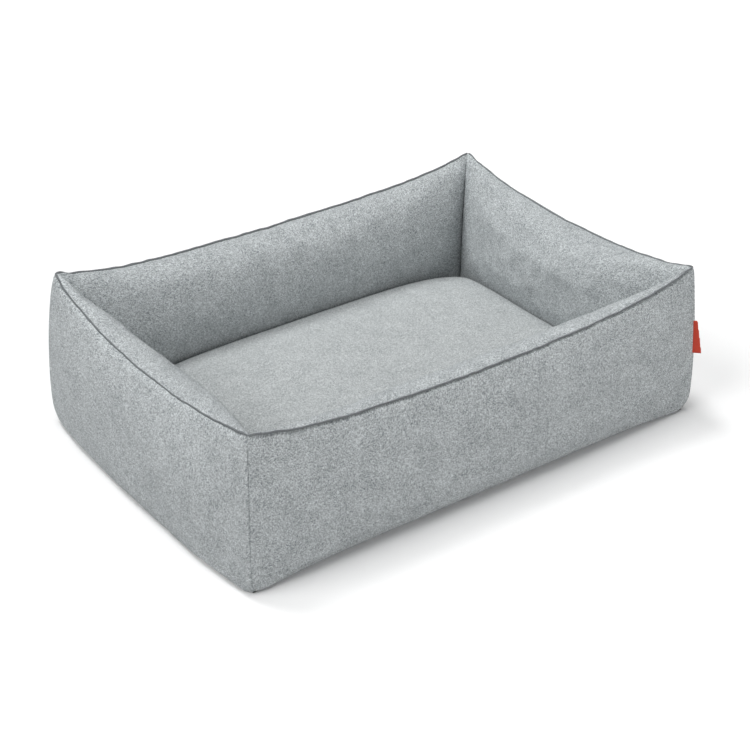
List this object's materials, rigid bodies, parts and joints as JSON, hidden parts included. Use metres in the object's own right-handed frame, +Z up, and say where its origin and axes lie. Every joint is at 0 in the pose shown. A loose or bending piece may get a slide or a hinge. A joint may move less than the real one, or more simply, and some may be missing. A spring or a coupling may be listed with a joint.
{
  "type": "dog bed with padded rim",
  "caption": "Rectangular dog bed: a high padded rim of four walls with pointed corners on a base cloth, and a loose mattress that lifts out.",
  "frame": {"origin": "middle of the base cloth on the floor", "axes": "+X along the long walls, +Z up; the label is at the corner towards +X and -Y"},
  "size_m": [0.844, 0.5693, 0.2496],
  "materials": {
    "upholstery": "matt grey melange weave",
    "base_cloth": "coated non-slip cloth with small dots",
    "lining": "plain woven lining",
    "filling": "loose white fibre",
    "label": "satin woven tape",
    "zip_tape": "woven tape",
    "zip_coil": "satin nylon",
    "zip_metal": "satin"
  },
  "bodies": {
    "rim": {"base_panel": "base_cloth", "well_lining": "lining", "outer_panel_front": "upholstery", "outer_panel_right": "upholstery", "outer_panel_back": "upholstery", "outer_panel_left": "upholstery", "inner_panel_front": "upholstery", "inner_panel_right": "upholstery", "inner_panel_back": "upholstery", "inner_panel_left": "upholstery", "wall_filling_front": "filling", "wall_filling_right": "filling", "wall_filling_back": "filling", "wall_filling_left": "filling", "top_seam_front": "upholstery", "top_seam_right": "upholstery", "top_seam_back": "upholstery", "top_seam_left": "upholstery", "side_label": "label"},
    "mattress": {"mattress_top_panel": "upholstery", "mattress_underside": "upholstery", "mattress_filling": "filling", "mattress_edge_seam": "upholstery", "zip_tape_back": "zip_tape", "zip_tape_front": "zip_tape", "zip_coil_back": "zip_coil", "zip_coil_front": "zip_coil", "zip_stop_closed": "zip_metal", "zip_stop_open": "zip_metal"},
    "zip_slider_body": {"zip_slider": "zip_metal"},
    "zip_pull_body": {"zip_pull": "zip_metal"}
  },
  "joints": [
    {"name": "mattress_lift", "type": "slide", "parent": "rim", "child": "mattress", "axis": [0, 0, 1], "range_m": [0, 0.3]},
    {"name": "zip_run", "type": "slide", "parent": "mattress", "child": "zip_slider_body", "axis": [1, 0, 0], "range_m": [0, 0.409]},
    {"name": "pull_swing", "type": "hinge", "parent": "zip_slider_body", "child": "zip_pull_body", "pos_m": [-0.2057, 0.09, 0.00755], "axis": [0, 1, 0], "range_deg": [0, 11.5]}
  ]
}
